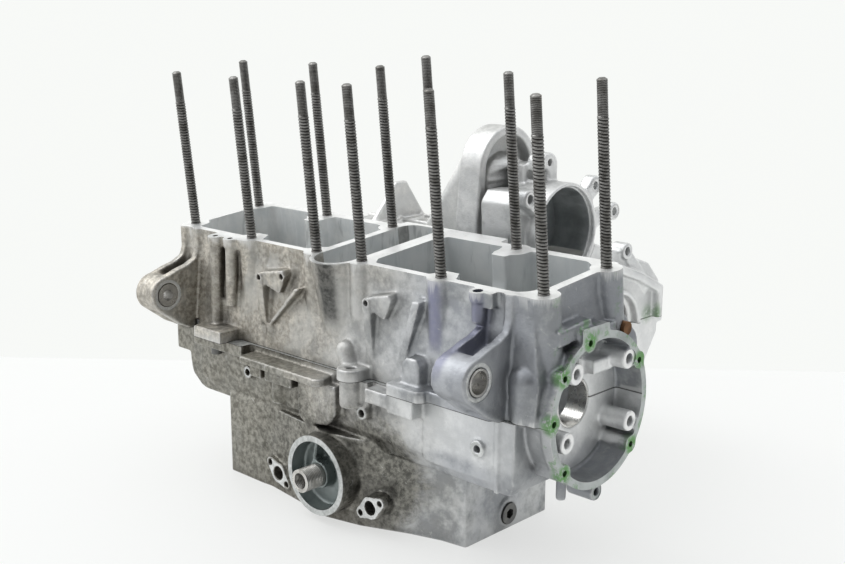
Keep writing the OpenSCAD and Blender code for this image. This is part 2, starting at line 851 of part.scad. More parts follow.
// How far a bolt's thread reaches into the upper half.
function bolt_reach(b) = b[3] > 3.5 ? 12 : 6;

module bolt_from_below(b) {
    z_rod(b[0], b[1], b[2], crank_h + bolt_reach(b), b[3]);
    difference() {
        z_rod(b[0], b[1], b[2] - 2 * b[3], b[2], b[3] * 1.6);
        translate([b[0], b[1], b[2] - 2 * b[3] - 1]) cylinder(h = b[3] + 1, r = b[3] * 0.85, $fn = 6);
    }
}

module main_bolts() {
    color(steel) from_crank() for (b = main_bolt_at) bolt_from_below(b);
}

module joint_bolts() {
    color(steel) from_crank() for (b = joint_bolt_at) bolt_from_below(b);
}

// Small pieces

module ridged_stud(h) {
    r = stud_d / 2;
    n = floor((h - 32) / ridge_pitch);
    rotate_extrude() polygon(concat(
        [[0, -29], [r, -29], [r, 2]],
        [for (i = [0:n - 1], k = [0:3]) [
            r - (k == 1 || k == 2 ? ridge_depth : 0),
            3 + (i + [0, 0.3, 0.6, 0.9][k]) * ridge_pitch]],
        [[r - 0.3, 3 + n * ridge_pitch], [r - 0.3, h - 1.5], [r - 1.6, h], [0, h]]
    ));
}

module cylinder_studs() {
    color(steel) from_crank() on_deck() for (i = [0:5], s = [-1, 1])
        if (!(i == tall_stud && s == 1)) translate([stud_x[i], s * row_y(i), 0]) ridged_stud(stud_h);
}

module tall_stud_rear() {
    color(steel) from_crank() on_deck() translate([stud_x[tall_stud], row_y(tall_stud), 0])
        ridged_stud(stud_h + tall_extra);
}

module filter_union() {
    color(bright) from_crank() difference() {
        union() {
            y_rod(filter[0], filter[1] - union_out, filter[1] + 3 - seat, filter[2], union_d / 2);
            y_rod(filter[0], filter[1], filter[1] + 30, filter[2], union_d / 2 - 1);
        }
        y_rod(filter[0], filter[1] - 20, filter[1] + 40, filter[2], union_bore / 2);
    }
}

module bush(x, d, bore) {
    on_deck() difference() {
        x_rod(x[0], x[1], -ear_reach, -ear_drop, d / 2);
        x_rod(x[0] - 1, x[1] + 1, -ear_reach, -ear_drop, bore / 2);
    }
}

module ear_bush_left() {
    color(bright) from_crank() bush(ear_left, bush_d, bush_bore);
}

module ear_sleeve_right() {
    color(bright) from_crank() bush(ear_right, bush_d, sleeve_bore);
}

module gallery_plug() {
    color(steel) from_crank() difference() {
        x_rod(sump_right - 11, sump_right + 3, plug_y, plug_z, plug_r);
        translate([sump_right - 3, plug_y, plug_z]) rotate([0, 90, 0])
            cylinder(h = 10, r = 4.6, $fn = 6);
    }
}

module gallery_pin() {
    color("#7a4a2c") from_crank() x_rod(pin_at[0], pin_at[1], pin_at[2], pin_at[3], pin_r);
}

// One half of a main bearing: a thin shell with its locating tang left off.
module main_shell(i, up) {
    color(bright) from_crank() intersection() {
        if (up) box([-300, 300], [-60, 60], [crank_h + 0.05, crank_h + 60]);
        else box([-300, 300], [-60, 60], [crank_h - 60, crank_h - 0.05]);
        difference() {
            crank_line(journal_x[i] - web_w / 2, journal_x[i] + web_w / 2, journal_r - fit);
            crank_line(journal_x[i] - 30, journal_x[i] + 30, journal_r - shell_t);
        }
    }
}

upper_case();
lower_case();
cylinder_studs();
tall_stud_rear();
filter_union();
ear_bush_left();
ear_sleeve_right();
gallery_plug();
gallery_pin();
joint_dowels();
main_bolts();
joint_bolts();
for (i = journals) main_shell(i, true);
for (i = journals) main_shell(i, false);
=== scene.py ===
import math

import bmesh
import bpy
from mathutils import Matrix, Vector


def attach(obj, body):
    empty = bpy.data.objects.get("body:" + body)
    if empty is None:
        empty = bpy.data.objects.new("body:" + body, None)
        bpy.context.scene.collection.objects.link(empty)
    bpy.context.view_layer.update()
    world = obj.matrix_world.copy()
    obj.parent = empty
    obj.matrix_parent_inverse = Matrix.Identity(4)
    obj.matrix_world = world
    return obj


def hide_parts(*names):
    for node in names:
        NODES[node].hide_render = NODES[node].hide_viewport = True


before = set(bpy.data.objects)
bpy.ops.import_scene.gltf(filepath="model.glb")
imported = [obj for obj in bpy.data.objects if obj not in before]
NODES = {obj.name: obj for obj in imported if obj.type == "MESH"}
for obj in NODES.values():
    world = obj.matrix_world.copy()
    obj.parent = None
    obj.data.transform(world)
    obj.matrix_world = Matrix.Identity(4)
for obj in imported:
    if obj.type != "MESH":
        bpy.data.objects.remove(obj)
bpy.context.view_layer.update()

# Metres, in the part's own frame: the origin is on the crankshaft axis, the table
# lies TABLE below it, and the cylinder deck leans forward by LEAN.
TABLE = -0.1305
LEAN = math.radians(6)
DECK = Matrix.Rotation(LEAN, 4, "X") @ Matrix.Translation((0, 0, 0.1))
UP = (DECK.to_3x3() @ Vector((0, 0, 1))).normalized()

# Machined faces
END_FACE = 0.230
CLUTCH_FACE = -0.221
FILTER_FACE = -0.0925

# Places in mm, heights from the table
CRANK_HEIGHT = 130.5
CRANK_BORE = 20
ALTERNATOR = (127.5, 233.5)
FRONT_MOUNT = (-94, -54)          # y and z on the deck's own axes
COVER_TAP_RING = 58
COVER_TAPS = (30, 106, 143, 177, 222, 318)
STUD_ROWS = ((-210.8, 39), (-116.5, 46), (-28, 46), (28, 46), (116.5, 46), (210.8, 39))
STUDS = [(x, side * row) for x, row in STUD_ROWS for side in (-1, 1)]
TALL_STUD = (28, 46)

# The filter seat, in metres: x and z of its axis, and its inner radius
CUP_X, CUP_Z, CUP_RADIUS = 0.006, -0.0895, 0.0305

# Studs, in metres
STUD_HEIGHT, TALL_HEIGHT = 0.145, 0.155
STUD_RADIUS = 0.0045
THREAD_LENGTH = 0.0285
RIDGE_PITCH, THREAD_PITCH = 0.00255, 0.00125

VOXEL = 0.00115
MOST_TRIANGLES = 188000
RAISED = 0.003                    # how far machined faces stand proud before they are cut
SINK = 0.0004                     # depth of the milled spots
WIDE = (-0.35, 0.35, -0.35, 0.35)

# Camera: its focal length in pixels of the picture
FOCAL, PICTURE_WIDTH, PICTURE_HEIGHT = 1174.78, 845, 564


# Camera and stage

def make_camera():
    data = bpy.data.cameras.new("camera")
    data.sensor_width = 36
    data.lens = 36 * FOCAL / PICTURE_WIDTH
    data.clip_start, data.clip_end = 0.05, 60
    cam = bpy.data.objects.new("camera", data)
    bpy.context.scene.collection.objects.link(cam)
    cam.matrix_world = Matrix((
        (0.72424016, -0.15619809, 0.67162367, 0.7149),
        (0.6895402, 0.15947722, -0.70647104, -0.7065),
        (0.00324075, 0.97476622, 0.22320466, 0.2930),
        (0, 0, 0, 1)))
    bpy.context.scene.camera = cam


def mesh_object(name, verts, faces):
    mesh = bpy.data.meshes.new(name)
    mesh.from_pydata([tuple(v) for v in verts], [], faces)
    mesh.update()
    obj = bpy.data.objects.new(name, mesh)
    bpy.context.scene.collection.objects.link(obj)
    return obj


def bm_object(name, bm):
    mesh = bpy.data.meshes.new(name)
    bm.to_mesh(mesh)
    bm.free()
    obj = bpy.data.objects.new(name, mesh)
    bpy.context.scene.collection.objects.link(obj)
    return obj


# Shader helpers

class Nodes:
    """Short names for the shader nodes that the materials are built from."""

    def __init__(self, name):
        self.mat = bpy.data.materials.new(name)
        self.mat.use_nodes = True
        self.tree = self.mat.node_tree
        self.shader = self.tree.nodes["Principled BSDF"]
        self.pos = self.new("ShaderNodeTexCoord").outputs["Object"]

    def new(self, kind, **props):
        node = self.tree.nodes.new(kind)
        for k, v in props.items():
            setattr(node, k, v)
        return node

    def put(self, socket, value):
        if isinstance(value, bpy.types.NodeSocket):
            self.tree.links.new(value, socket)
        elif isinstance(value, tuple) and len(value) == 3 and socket.type == "RGBA":
            socket.default_value = (*value, 1)
        else:
            socket.default_value = value

    def math(self, op, a, b=0.0, clamp=False):
        node = self.new("ShaderNodeMath", operation=op, use_clamp=clamp)
        self.put(node.inputs[0], a)
        self.put(node.inputs[1], b)
        return node.outputs[0]

    def times(self, first, *others):
        for value in others:
            first = self.math("MULTIPLY", first, value)
        return first

    def distance(self, a, a0, b, b0):
        """How far a point lies from an axis through a0 and b0."""
        along = self.math("POWER", self.math("SUBTRACT", a, a0), 2.0)
        across = self.math("POWER", self.math("SUBTRACT", b, b0), 2.0)
        return self.math("POWER", self.math("ADD", along, across), 0.5)

    def step(self, value, low, high, to_min=0.0, to_max=1.0):
        node = self.new("ShaderNodeMapRange", interpolation_type="SMOOTHSTEP", clamp=True)
        self.put(node.inputs["Value"], value)
        for k, v in (("From Min", low), ("From Max", high), ("To Min", to_min), ("To Max", to_max)):
            self.put(node.inputs[k], v)
        return node.outputs[0]

    def stretched(self, scale, vector=None):
        node = self.new("ShaderNodeMapping")
        self.put(node.inputs["Vector"], vector or self.pos)
        node.inputs["Scale"].default_value = scale
        return node.outputs[0]

    def noise(self, scale, detail=3.0, rough=0.55, vector=None, distort=0.0):
        node = self.new("ShaderNodeTexNoise")
        self.put(node.inputs["Vector"], vector or self.pos)
        node.inputs["Scale"].default_value = scale
        node.inputs["Detail"].default_value = detail
        node.inputs["Roughness"].default_value = rough
        node.inputs["Distortion"].default_value = distort
        return node.outputs["Fac"]

    def axis(self, k, vector=None):
        node = self.new("ShaderNodeSeparateXYZ")
        self.put(node.inputs[0], vector or self.pos)
        return node.outputs[k]

    def mix(self, fac, a, b, kind="MIX"):
        node = self.new("ShaderNodeMix", data_type="RGBA", blend_type=kind, clamp_factor=True)
        self.put(node.inputs[0], fac)
        self.put(node.inputs[6], a)
        self.put(node.inputs[7], b)
        return node.outputs[2]

    def blob(self, centre, radius, soft, squash=(1, 1, 1)):
        """1 inside a ball around centre, falling to 0 over soft."""
        move = self.new("ShaderNodeVectorMath", operation="SUBTRACT")
        self.put(move.inputs[0], self.pos)
        move.inputs[1].default_value = centre
        scale = self.new("ShaderNodeVectorMath", operation="MULTIPLY")
        self.tree.links.new(move.outputs[0], scale.inputs[0])
        scale.inputs[1].default_value = squash
        length = self.new("ShaderNodeVectorMath", operation="LENGTH")
        self.tree.links.new(scale.outputs[0], length.inputs[0])
        return self.step(length.outputs["Value"], radius, radius + soft, 1.0, 0.0)

    def normal_axis(self, k):
        return self.axis(k, self.new("ShaderNodeNewGeometry").outputs["Normal"])

    def bump(self, height, strength, distance, below=None):
        node = self.new("ShaderNodeBump")
        node.inputs["Strength"].default_value = strength
        node.inputs["Distance"].default_value = distance
        self.put(node.inputs["Height"], height)
        if below is not None:
            self.put(node.inputs["Normal"], below)
        return node.outputs[0]

    def finish(self, colour, rough, metal, normal=None):
        self.put(self.shader.inputs["Base Color"], colour)
        self.put(self.shader.inputs["Roughness"], rough)
        self.shader.inputs["Metallic"].default_value = metal
        if normal is not None:
            self.put(self.shader.inputs["Normal"], normal)
        return self.mat


def cast_material(name, lower):
    """Cast aluminium: clean towards the right and the rear, dirty at the left and front."""
    n = Nodes(name)
    x, y, z = n.axis(0), n.axis(1), n.axis(2)
    big = n.noise(8, 4, 0.6)
    mid = n.noise(34, 5, 0.65)
    fine = n.noise(210, 5, 0.68)
    grain = n.noise(1300, 2, 0.5)
    clean = clean_metal(n, lower, x, y, z, big, mid, fine)
    # weathering: strong on the front of the left, weak towards the right end
    worn = n.step(n.math("ADD", x, n.times(big, 0.22)), 0.27, 0.03)
    front = n.step(y, 0.05, -0.015, 0.25, 1.0)
    weather = n.times(worn, front, n.step(mid, 0.25, 0.6, 0.55, 1.0))
    colour = n.mix(n.times(weather, 0.86), clean, brown_dirt(n, fine))
    if lower:
        film = n.mix(n.step(fine, 0.33, 0.67), (0.085, 0.083, 0.066), (0.29, 0.285, 0.25))
        colour = n.mix(n.step(x, 0.01, -0.06, 0.0, 0.75), colour, film)
    else:
        # painted shade on the flank beside the chain tunnel and below the deck
        colour = painted_shade_bands(n, colour, x, y, z, fine)
        colour = seat_inside(n, colour, x, y, z, mid)
    # oily dirt, low in the middle around the filter mount
    near = n.math("ADD", n.blob((0.004, -0.08, -0.085), 0.036, 0.075, (0.8, 1, 1.1)),
                  n.times(n.blob((0.062, -0.085, -0.09), 0.02, 0.05), 0.6))
    patch = n.step(n.math("ADD", n.noise(24, 7, 0.78, distort=0.7), n.times(near, 0.30)), 0.53, 0.86)
    oily = n.times(patch, n.step(near, 0.03, 0.5))
    oil = n.mix(n.step(fine, 0.34, 0.68), (0.060, 0.058, 0.048), (0.27, 0.262, 0.23))
    colour = n.mix(n.times(oily, 0.88 if lower else 0.55), colour, oil)
    # pits and wear, with dirt and painted shade in the corners
    colour = wear_and_corner_shade(n, colour, weather, worn)
    # dark line where the two halves meet, with green sealant at the end cover
    level = n.math("ABSOLUTE", z)
    seam = n.step(n.math("ADD", level, n.times(fine, 0.0006)), 0.0012, 0.0005)
    colour = n.mix(n.times(seam, 0.85), colour, (0.02, 0.018, 0.015))
    colour = n.mix(green_mask(n, x, y, z, fine), colour, (0.11, 0.26, 0.085))
    if lower:
        colour = cup_finish(n, colour, x, y, z, mid)
    rough = n.step(n.math("ADD", mid, n.times(fine, 0.3)), 0.4, 0.9, 0.36, 0.60)
    rough = n.math("SUBTRACT", rough, n.times(oily, 0.14))
    normal = n.bump(grain, 0.45, 0.00022)
    normal = n.bump(fine, 0.55, 0.0008, normal)
    normal = n.bump(mid, 0.4, 0.0022, normal)
    return n.finish(colour, rough, 0.80, normal)


def clean_metal(n, lower, x, y, z, big, mid, fine):
    """Bare cast metal, bluish in places, brighter on the gear housing and in the end chamber, with painted shade
    greying the right end.
    """
    clean = n.mix(n.step(mid, 0.38, 0.62), (0.27, 0.28, 0.285), (0.63, 0.64, 0.64))
    bluish = n.mix(n.step(big, 0.40, 0.62), clean, (0.33, 0.345, 0.385))
    clean = n.mix(n.step(x, 0.02, 0.2, 0.1, 0.6), clean, bluish)
    chamber = n.times(n.step(x, 0.19, 0.20), n.blob((0.21, 0, 0), 0.052, 0.004))
    bright = n.math("MAXIMUM", n.step(y, 0.06, 0.09), chamber)
    if lower:
        band = n.times(n.step(x, 0.07, 0.12), n.step(z, -0.045, -0.035))
        bright = n.math("MAXIMUM", bright, n.times(band, 0.55))
    clean = n.mix(bright, clean, n.mix(n.step(mid, 0.35, 0.65), (0.80, 0.81, 0.81), (0.98, 0.985, 0.98)))
    # what faces up behind the deck has gone dull
    dusty = n.times(n.step(n.normal_axis(2), 0.45, 0.95), n.step(y, 0.06, 0.10, 0.0, 0.75))
    clean = n.mix(dusty, clean, n.mix(n.step(fine, 0.35, 0.65), (0.40, 0.405, 0.40), (0.56, 0.565, 0.56)))
    # painted shade: the right end, outside the chamber, is painted greyer, as the side turned away from the light
    end = n.times(n.step(x, 0.17, 0.205), n.step(y, 0.06, 0.045))
    end = n.times(end, n.step(n.blob((0.22, 0, 0), 0.052, 0.006), 0.6, 0.4))
    return n.mix(n.times(end, 0.5), clean, (0.24, 0.25, 0.265))


def brown_dirt(n, fine):
    streak = n.noise(1, 4, 0.6, n.stretched((95, 95, 14)))
    brown = n.mix(n.step(fine, 0.36, 0.66), (0.275, 0.245, 0.195), (0.68, 0.635, 0.55))
    brown = n.mix(n.step(streak, 0.44, 0.66, 0.0, 0.5), brown, (0.21, 0.192, 0.158))
    washed = n.step(n.noise(15, 5, 0.7, distort=0.6), 0.46, 0.60, 0.0, 0.65)
    return n.mix(washed, brown, (0.55, 0.535, 0.49))


def painted_shade_bands(n, colour, x, y, z, fine):
    """Painted shade: a dark band on the flank beside the chain tunnel, and dark bluish bands below the deck, where
    the wall lies in shadow.
    """
    front = n.times(n.step(y, -0.045, -0.05), n.step(z, 0.03, 0.05))
    strength = n.step(fine, 0.3, 0.6, 0.95, 0.75)
    for place, slope, half, tone in (((0.0038, 0.059), 0.084, 0.0085, (0.035, 0.036, 0.034)),
                                     ((0.1175, 0.075), 0.0, 0.006, (0.23, 0.235, 0.33)),
                                     ((0.1640, 0.078), 0.0, 0.006, (0.22, 0.225, 0.30))):
        middle = n.math("ADD", n.times(n.math("SUBTRACT", z, place[1]), slope), place[0])
        away = n.math("ABSOLUTE", n.math("SUBTRACT", x, middle))
        # painted shade: a soft band of dark colour along each flank
        shade_band = n.times(n.step(away, half * 1.5, half * 0.5), front)
        colour = n.mix(n.times(shade_band, strength), colour, tone)
    return colour


def seat_inside(n, colour, x, y, z, mid):
    """The inside of the alternator seat is dark."""
    from_axis = n.distance(y, ALTERNATOR[0] / 1000, z, ALTERNATOR[1] / 1000 + TABLE)
    inside = n.times(n.step(from_axis, 0.0405, 0.0395), n.step(x, 0.0965, 0.094), n.step(x, 0.045, 0.05))
    tone = n.mix(n.step(mid, 0.35, 0.65), (0.12, 0.145, 0.155), (0.26, 0.29, 0.30))
    return n.mix(n.times(inside, 0.70), colour, tone)


def wear_and_corner_shade(n, colour, weather, worn):
    """Pits, pale bloom, edges rubbed bright, and dirt and painted shade in the corners."""
    pit = n.step(n.noise(300, 3, 0.75), 0.66, 0.74)
    pitted = n.times(pit, n.math("ADD", n.times(weather, 0.6), 0.16))
    colour = n.mix(pitted, colour, (0.05, 0.044, 0.036))
    pale = n.step(n.noise(75, 6, 0.75, distort=1.0), 0.60, 0.72)
    colour = n.mix(n.times(pale, 0.42), colour, (0.74, 0.74, 0.72))
    curve = n.new("ShaderNodeNewGeometry").outputs["Pointiness"]
    colour = n.mix(n.step(curve, 0.515, 0.57, 0.0, 0.55), colour, (0.74, 0.74, 0.73))
    # dirt and painted shade: ambient occlusion darkens corners and creases, more so where the casting is weathered
    ao = n.new("ShaderNodeAmbientOcclusion", samples=4)
    ao.inputs["Distance"].default_value = 0.018
    corner_dirt_and_shade = n.step(ao.outputs["AO"], 0.88, 0.30)
    corner_dirt_and_shade = n.math("MULTIPLY", corner_dirt_and_shade, n.math("ADD", n.times(weather, 0.55), 0.30), True)
    return n.mix(corner_dirt_and_shade, colour, n.mix(worn, (0.07, 0.075, 0.08), (0.060, 0.050, 0.038)))


def green_mask(n, x, y, z, fine):
    """Old sealant that has squeezed out round the end cover joint."""
    radius = n.distance(y, 0.0, z, 0.0)
    ring = n.times(n.step(radius, 0.0565, 0.0585), n.step(x, 0.2205, 0.2255))
    lumps = n.step(n.noise(95, 5, 0.75), 0.52, 0.60)
    there = n.times(ring, lumps, 0.55)
    spots = n.noise(230, 5, 0.7)
    for a in COVER_TAPS:
        place = (0.229, 0.059 * math.cos(math.radians(a)), 0.059 * math.sin(math.radians(a)))
        blob = n.times(n.blob(place, 0.0045, 0.0065), n.step(spots, 0.36, 0.52))
        there = n.math("MAXIMUM", there, blob)
    plate = n.times(n.blob((0.112, 0.262, 0.004), 0.006, 0.012), n.step(spots, 0.36, 0.5))
    return n.math("MAXIMUM", there, plate)


def cup_finish(n, colour, x, y, z, mid):
    """The filter seat's inside is a smoother grey-green than the casting around it."""
    from_axis = n.distance(x, CUP_X, z, CUP_Z)
    inside = n.times(n.step(from_axis, CUP_RADIUS + 0.0003, CUP_RADIUS - 0.0003), n.step(y, -0.070, -0.074))
    tone = n.mix(n.step(mid, 0.35, 0.65), (0.17, 0.195, 0.19), (0.30, 0.33, 0.325))
    return n.mix(inside, colour, tone)


def machined_material(name, light=(0.93, 0.93, 0.92), shade=(0.80, 0.80, 0.79)):
    n = Nodes(name)
    x, y, z = n.axis(0), n.axis(1), n.axis(2)
    lines = n.noise(420, 2, 0.5, n.stretched((0.25, 1.0, 1.0)))
    mid = n.noise(45, 4, 0.6)
    fine = n.noise(230, 5, 0.7)
    colour = n.mix(n.step(mid, 0.4, 0.7), light, shade)
    # the low faces at the front are duller and scratched
    dull = n.mix(n.step(fine, 0.35, 0.65), (0.42, 0.43, 0.42), (0.68, 0.69, 0.68))
    colour = n.mix(n.step(y, -0.06, -0.07, 0.0, 0.75), colour, dull)
    stain = n.step(n.noise(80, 5, 0.75), 0.62, 0.72)
    colour = n.mix(n.math("MULTIPLY", stain, 0.45), colour, (0.40, 0.38, 0.34))
    colour = n.mix(green_mask(n, x, y, z, fine), colour, (0.13, 0.30, 0.10))
    rough = n.step(lines, 0.3, 0.7, 0.28, 0.44)
    return n.finish(colour, rough, 0.6, n.bump(lines, 0.15, 0.0001))


def bored_material(name):
    """The bored walls of the cylinder openings, grey with pale and dark streaks, greyer towards the right, and
    with painted shade deeper down in the openings.
    """
    n = Nodes(name)
    mid = n.noise(30, 4, 0.6)
    streak = n.noise(1, 4, 0.6, n.stretched((120, 120, 18)))
    colour = n.mix(n.step(mid, 0.35, 0.65), (0.74, 0.77, 0.775), (0.90, 0.91, 0.90))
    colour = n.mix(n.step(streak, 0.56, 0.70, 0.0, 0.45), colour, (0.97, 0.98, 0.99))
    colour = n.mix(n.step(streak, 0.44, 0.34, 0.0, 0.5), colour, (0.42, 0.44, 0.44))
    colour = n.mix(n.step(n.axis(0), -0.02, 0.04, 0.0, 0.5), colour, (0.48, 0.505, 0.51))
    # painted shade: darker deeper down in the openings
    colour = n.mix(n.step(n.axis(2), 0.10, 0.05, 0.0, 0.35), colour, (0.42, 0.43, 0.42))
    return n.finish(colour, n.step(mid, 0.3, 0.7, 0.34, 0.5), 0.25, n.bump(streak, 0.15, 0.0004))


def stud_material(name):
    """Dark oiled steel, with painted shade making the grooves black, and some rust on one head."""
    n = Nodes(name)
    mid = n.noise(120, 4, 0.6)
    fine = n.noise(700, 3, 0.6)
    groove_shade = n.new("ShaderNodeAttribute", attribute_name="groove_shade").outputs["Fac"]
    crest = n.mix(n.step(mid, 0.4, 0.65), (0.25, 0.245, 0.235), (0.14, 0.135, 0.125))
    # painted shade: the thread grooves are painted near black
    body = n.mix(n.step(groove_shade, 0.25, 0.8), crest, (0.016, 0.015, 0.014))
    rust = n.math("MULTIPLY", n.blob((0.2108, -0.045, 0.245), 0.012, 0.012), n.step(mid, 0.35, 0.5))
    body = n.mix(n.math("MULTIPLY", rust, 0.8), body, (0.16, 0.085, 0.05))
    return n.finish(body, n.step(fine, 0.3, 0.7, 0.26, 0.44), 0.92, n.bump(fine, 0.2, 0.0001))


def threaded_material(name):
    """Bright steel with a fine thread cut along Y, its roots darkened with painted shade."""
    n = Nodes(name)
    along = n.math("MULTIPLY", n.axis(1), 2 * math.pi / 0.0016)
    thread = n.math("SINE", along)
    outer = n.step(n.axis(1), -0.092, -0.093)
    mid = n.noise(150, 4, 0.6)
    base = n.mix(n.step(mid, 0.35, 0.7), (0.62, 0.61, 0.58), (0.38, 0.37, 0.34))
    # painted shade: the thread roots are painted dark
    root = n.times(n.step(thread, 0.1, 0.9), outer, 0.6)
    base = n.mix(root, base, (0.12, 0.11, 0.10))
    normal = n.bump(n.math("MULTIPLY", thread, outer), 0.6, 0.0004)
    return n.finish(base, n.step(mid, 0.3, 0.7, 0.26, 0.42), 0.9, normal)


def steel_material(name, colour, dark, rough=0.42):
    n = Nodes(name)
    mid = n.noise(120, 4, 0.6)
    fine = n.noise(700, 3, 0.6)
    base = n.mix(n.step(mid, 0.35, 0.7), colour, dark)
    base = n.mix(n.math("MULTIPLY", n.step(fine, 0.6, 0.75), 0.4), base, tuple(c * 0.4 for c in dark))
    return n.finish(base, n.step(mid, 0.3, 0.7, rough - 0.08, rough + 0.12), 0.85, n.bump(fine, 0.3, 0.0002))


# Castings: the CAD solid is remeshed and smoothed so that its edges and corners are
# rounded as cast, and then its machined faces and bores are cut again, sharp.

def modifier(obj, kind, **props):
    mod = obj.modifiers.new(kind, kind)
    for k, v in props.items():
        setattr(mod, k, v)
    return mod


def applied(obj):
    depsgraph = bpy.context.evaluated_depsgraph_get()
    depsgraph.update()
    mesh = bpy.data.meshes.new_from_object(obj.evaluated_get(depsgraph))
    obj.modifiers.clear()
    old = obj.data
    obj.data = mesh
    bpy.data.meshes.remove(old)
    return obj


def proud_copy(node, planes, out=RAISED):
    """A copy of a node with its machined faces raised, for the cut to come."""
    obj = bpy.data.objects.new("work_" + node, NODES[node].data.copy())
    bpy.context.scene.collection.objects.link(obj)
    bm = bmesh.new()
    bm.from_mesh(obj.data)
    bmesh.ops.remove_doubles(bm, verts=bm.verts[:], dist=2e-6)
    for point, normal, *reach in planes:
        point, normal = Vector(point), Vector(normal).normalized()
        across = normal.to_track_quat("Z", "Y").to_matrix().transposed()
        x0, x1, y0, y1 = reach[0] if reach else WIDE
        faces = []
        for f in bm.faces:
            if f.normal.dot(normal) > 0.999 and abs((f.verts[0].co - point).dot(normal)) < 2e-5:
                place = [across @ (v.co - point) for v in f.verts]
                if all(x0 < v.x < x1 and y0 < v.y < y1 for v in place):
                    faces.append(f)
        if not faces:
            continue
        made = bmesh.ops.extrude_face_region(bm, geom=faces)
        verts = [v for v in made["geom"] if isinstance(v, bmesh.types.BMVert)]
        bmesh.ops.translate(bm, verts=verts, vec=normal * out)
        bmesh.ops.delete(bm, geom=faces, context="FACES")
    bm.to_mesh(obj.data)
    bm.free()
    return obj


def slab(bm, point, normal, reach=WIDE, thick=0.02):
    """A block that lies on the outer side of a plane, as far as reach along its two sides."""
    normal = Vector(normal).normalized()
    turn = normal.to_track_quat("Z", "Y").to_matrix().to_4x4()
    middle = Vector(((reach[0] + reach[1]) / 2, (reach[2] + reach[3]) / 2, thick / 2))
    place = Matrix.Translation(Vector(point)) @ turn @ Matrix.Translation(middle)
    size = (reach[1] - reach[0], reach[3] - reach[2], thick, 1)
    bmesh.ops.create_cube(bm, size=1, matrix=place @ Matrix.Diagonal(size))


def drill(bm, start, axis, radius, depth, sides=28, out=0.004):
    """A cylinder that cuts from start along axis for depth, and runs out a little."""
    axis = Vector(axis).normalized()
    turn = axis.to_track_quat("Z", "Y").to_matrix().to_4x4()
    place = Matrix.Translation(Vector(start) + axis * (depth - out) / 2) @ turn
    bmesh.ops.create_cone(bm, cap_ends=True, segments=sides, radius1=radius, radius2=radius,
                          depth=depth + out, matrix=place)


def spot(bm, centre, outward, radius, sink=SINK, height=0.006):
    """A round flat milled into the face at centre."""
    outward = Vector(outward).normalized()
    drill(bm, Vector(centre) + outward * height, -outward, radius, height + sink, 36, 0)


def cut(obj, bm, name):
    cutter = bm_object(name, bm)
    modifier(obj, "BOOLEAN", operation="DIFFERENCE", solver="MANIFOLD", object=cutter)
    applied(obj)
    bpy.data.objects.remove(cutter)


def cast_piece(name, node, planes, drills, spots, materials):
    obj = proud_copy(node, planes)
    modifier(obj, "REMESH", mode="VOXEL", voxel_size=VOXEL, adaptivity=0)
    modifier(obj, "SMOOTH", factor=0.5, iterations=7)
    applied(obj)
    for plane in planes:
        bm = bmesh.new()
        slab(bm, *plane)
        cut(obj, bm, "slab")
    # tools that may touch each other go in alternate groups, because a cutter can't cross itself
    for make, group in ((drill, drills), (spot, spots)):
        for part in (group[0::2], group[1::2]):
            bm = bmesh.new()
            for place in part:
                make(bm, *place)
            cut(obj, bm, "tools")
    count = sum(len(p.vertices) - 2 for p in obj.data.polygons)
    if count > MOST_TRIANGLES:
        modifier(obj, "DECIMATE", ratio=MOST_TRIANGLES / count)
        applied(obj)
    obj.name = name
    obj.data.materials.clear()
    for m in materials:
        obj.data.materials.append(m)
    obj.data.polygons.foreach_set("use_smooth", [True] * len(obj.data.polygons))
    give_faces(obj.data, node, planes, spots)
    obj.data.set_sharp_from_angle(angle=math.radians(38))
    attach(obj, "root")
    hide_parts(node)
    return obj


def give_faces(mesh, node, planes, spots):
    """Sets each face to as cast 0, machined 1, dull joint 2 or bored wall 3."""
    flat = []
    for point, normal, *_ in planes:
        dull = point[0] == END_FACE or point[1] == FILTER_FACE or point[2] in (0, TABLE)
        flat.append((Vector(point), Vector(normal).normalized(), 9, 2 if dull else 1))
    for centre, outward, radius in spots:
        outward = Vector(outward).normalized()
        dull = node == "lower_case" and radius < 0.0065
        flat.append((Vector(centre) - outward * SINK, outward, radius * 1.02, 2 if dull else 1))
    to_deck = DECK.inverted()
    for f in mesh.polygons:
        here = to_deck @ f.center
        in_openings = abs(here.x) < 0.2095 and abs(here.y) < 0.0455
        in_tunnel = abs(here.x) < 0.0175 and -0.045 < here.y < 0.068
        walls = (in_openings or in_tunnel) and here.z > -0.066 and abs(f.normal.dot(UP)) < 0.6
        f.material_index = 3 if walls and node == "upper_case" else 0
        for point, normal, reach, kind in flat:
            away = f.center - point
            if f.normal.dot(normal) > 0.998 and abs(away.dot(normal)) < 3e-5 and away.length < reach:
                f.material_index = kind


def on_deck(x, y, z):
    """A point given in mm on the deck's own axes."""
    return DECK @ Vector((x / 1000, y / 1000, z / 1000))


def mm(x, y, z):
    """A point in mm, its height measured from the table."""
    return Vector((x / 1000, y / 1000, z / 1000 + TABLE))


